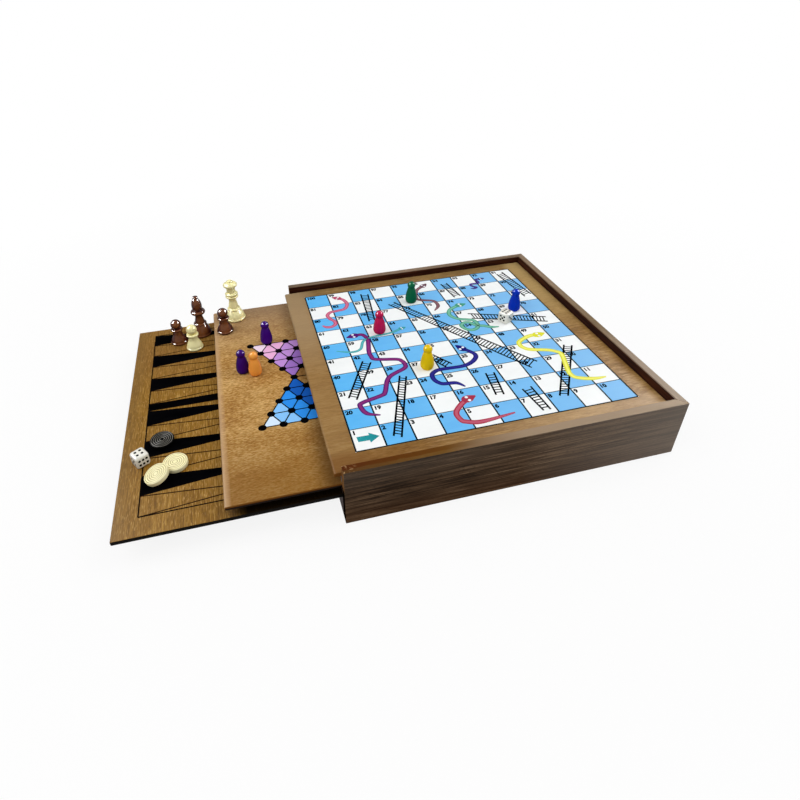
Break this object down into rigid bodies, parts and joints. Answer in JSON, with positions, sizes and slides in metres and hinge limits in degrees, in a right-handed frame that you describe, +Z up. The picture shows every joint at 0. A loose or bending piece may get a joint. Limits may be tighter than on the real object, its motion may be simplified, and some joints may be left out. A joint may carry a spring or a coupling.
{
  "type": "games compendium box",
  "caption": "Wooden games box with a lift-off top game board, sliding game boards below it on runners, a divided tray and loose game men.",
  "frame": {"origin": "centre of the box's underside", "axes": "+X along the box, from the open left end towards the right wall; +Y from the front wall to the back wall; +Z up"},
  "size_m": [0.474, 0.304, 0.0865],
  "materials": {
    "walnut_veneer": "satin lacquer over dark veneer",
    "plywood": "bare plywood",
    "stained_strip": "stained strip wood",
    "board_birch": "stained birch with printed games",
    "board_oak": "stained oak veneer with printed games",
    "die_white": "polished, spots painted black",
    "ivory_men": "moulded ivory plastic",
    "black_plastic": "moulded black plastic",
    "brown_men": "moulded brown plastic",
    "red_lacquer": "glossy",
    "green_lacquer": "glossy",
    "yellow_lacquer": "glossy",
    "blue_lacquer": "glossy",
    "violet_lacquer": "glossy",
    "orange_lacquer": "glossy"
  },
  "bodies": {
    "box": {"front_wall": "walnut_veneer", "back_wall": "walnut_veneer", "right_wall": "walnut_veneer", "left_wall": "walnut_veneer", "bottom_panel": "plywood", "front_runner_low": "stained_strip", "front_runner_middle": "stained_strip", "front_runner_top": "stained_strip", "back_runner_low": "stained_strip", "back_runner_middle": "stained_strip", "back_runner_top": "stained_strip", "long_divider": "stained_strip", "cross_divider": "stained_strip", "stored_ivory_draughts": "ivory_men", "stored_black_draughts": "black_plastic"},
    "top_board": {"snakes_board": "board_birch"},
    "middle_board": {"star_board": "board_birch"},
    "lower_board": {"backgammon_board": "board_oak"},
    "red_man_loose": {"red_man": "red_lacquer"},
    "green_man_loose": {"green_man": "green_lacquer"},
    "yellow_man_loose": {"yellow_man": "yellow_lacquer"},
    "blue_man_loose": {"blue_man": "blue_lacquer"},
    "upper_die_loose": {"upper_die": "die_white"},
    "violet_man_loose": {"violet_man": "violet_lacquer"},
    "purple_man_loose": {"purple_man": "violet_lacquer"},
    "orange_man_loose": {"orange_man": "orange_lacquer"},
    "ivory_queen_loose": {"ivory_queen": "ivory_men"},
    "brown_pawn_right_loose": {"brown_pawn_right": "brown_men"},
    "brown_bishop_loose": {"brown_bishop": "brown_men"},
    "brown_pawn_left_loose": {"brown_pawn_left": "brown_men"},
    "ivory_pawn_loose": {"ivory_pawn": "ivory_men"},
    "leaning_draught_loose": {"leaning_draught": "ivory_men"},
    "flat_draught_loose": {"flat_draught": "ivory_men"},
    "black_draught_loose": {"black_draught": "black_plastic"},
    "lower_die_loose": {"lower_die": "die_white"}
  },
  "joints": [
    {"name": "top_board_lift", "type": "slide", "parent": "box", "child": "top_board", "axis": [0, 0, 1], "range_m": [0, 0.1]},
    {"name": "star_board_slide", "type": "slide", "parent": "box", "child": "middle_board", "axis": [-1, 0, 0], "range_m": [-0.084, 0.005]},
    {"name": "backgammon_board_slide", "type": "slide", "parent": "box", "child": "lower_board", "axis": [-1, 0, 0], "range_m": [-0.168, 0.125]},
    {"name": "red_man_lift", "type": "slide", "parent": "top_board", "child": "red_man_loose", "axis": [0, 0, 1], "range_m": [0, 0.06]},
    {"name": "green_man_lift", "type": "slide", "parent": "top_board", "child": "green_man_loose", "axis": [0, 0, 1], "range_m": [0, 0.06]},
    {"name": "yellow_man_lift", "type": "slide", "parent": "top_board", "child": "yellow_man_loose", "axis": [0, 0, 1], "range_m": [0, 0.06]},
    {"name": "blue_man_lift", "type": "slide", "parent": "top_board", "child": "blue_man_loose", "axis": [0, 0, 1], "range_m": [0, 0.06]},
    {"name": "upper_die_lift", "type": "slide", "parent": "top_board", "child": "upper_die_loose", "axis": [0, 0, 1], "range_m": [0, 0.06]},
    {"name": "violet_man_lift", "type": "slide", "parent": "box", "child": "violet_man_loose", "axis": [0, 0, 1], "range_m": [0, 0.06]},
    {"name": "purple_man_lift", "type": "slide", "parent": "box", "child": "purple_man_loose", "axis": [0, 0, 1], "range_m": [0, 0.06]},
    {"name": "orange_man_lift", "type": "slide", "parent": "box", "child": "orange_man_loose", "axis": [0, 0, 1], "range_m": [0, 0.06]},
    {"name": "ivory_queen_lift", "type": "slide", "parent": "box", "child": "ivory_queen_loose", "axis": [0, 0, 1], "range_m": [0, 0.06]},
    {"name": "brown_pawn_right_lift", "type": "slide", "parent": "box", "child": "brown_pawn_right_loose", "axis": [0, 0, 1], "range_m": [0, 0.06]},
    {"name": "brown_bishop_lift", "type": "slide", "parent": "box", "child": "brown_bishop_loose", "axis": [0, 0, 1], "range_m": [0, 0.06]},
    {"name": "brown_pawn_left_lift", "type": "slide", "parent": "box", "child": "brown_pawn_left_loose", "axis": [0, 0, 1], "range_m": [0, 0.06]},
    {"name": "ivory_pawn_lift", "type": "slide", "parent": "box", "child": "ivory_pawn_loose", "axis": [0, 0, 1], "range_m": [0, 0.06]},
    {"name": "leaning_draught_lift", "type": "slide", "parent": "flat_draught_loose", "child": "leaning_draught_loose", "axis": [0, 0, 1], "range_m": [0, 0.06]},
    {"name": "flat_draught_lift", "type": "slide", "parent": "box", "child": "flat_draught_loose", "axis": [0, 0, 1], "range_m": [0, 0.06]},
    {"name": "black_draught_lift", "type": "slide", "parent": "box", "child": "black_draught_loose", "axis": [0, 0, 1], "range_m": [0, 0.06]},
    {"name": "lower_die_lift", "type": "slide", "parent": "box", "child": "lower_die_loose", "axis": [0, 0, 1], "range_m": [0, 0.06]}
  ]
}
